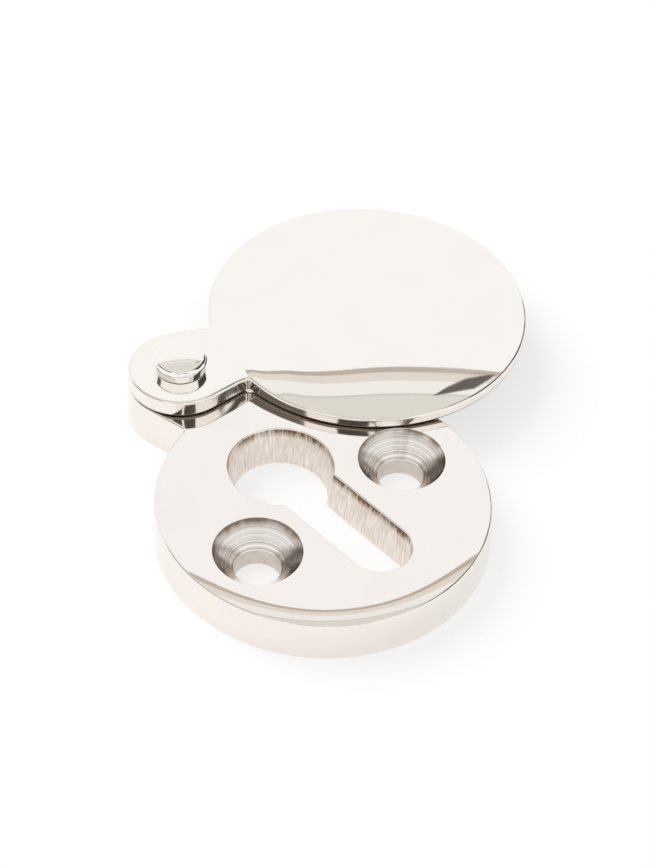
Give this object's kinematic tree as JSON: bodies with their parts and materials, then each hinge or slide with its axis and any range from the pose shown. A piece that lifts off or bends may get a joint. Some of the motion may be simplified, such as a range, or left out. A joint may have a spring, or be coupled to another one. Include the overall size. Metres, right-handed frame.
{
  "type": "keyhole escutcheon with swinging cover",
  "caption": "Round keyhole plate with two countersunk screw holes and a lug, on which a domed cover swings sideways about a rivet.",
  "frame": {"origin": "halfway between the two screw holes, on the flat back face that lies against the door", "axes": "+Z out of the door towards the viewer of the front, +Y from the screw holes towards the pivot, up on a door, +X to the right seen from the front"},
  "size_m": [0.049, 0.0448, 0.0073],
  "materials": {
    "polished_nickel_plate": "polished nickel over cast brass",
    "polished_nickel_cover": "polished nickel over brass",
    "polished_nickel_rivet": "polished nickel"
  },
  "bodies": {
    "base": {"base_plate": "polished_nickel_plate", "pivot_rivet": "polished_nickel_rivet"},
    "cover": {"swing_cover": "polished_nickel_cover"}
  },
  "joints": [
    {"name": "cover_swing", "type": "hinge", "parent": "base", "child": "cover", "pos_m": [0, 0.02045, 0.0048], "axis": [0, 0, 1], "continuous": true}
  ]
}
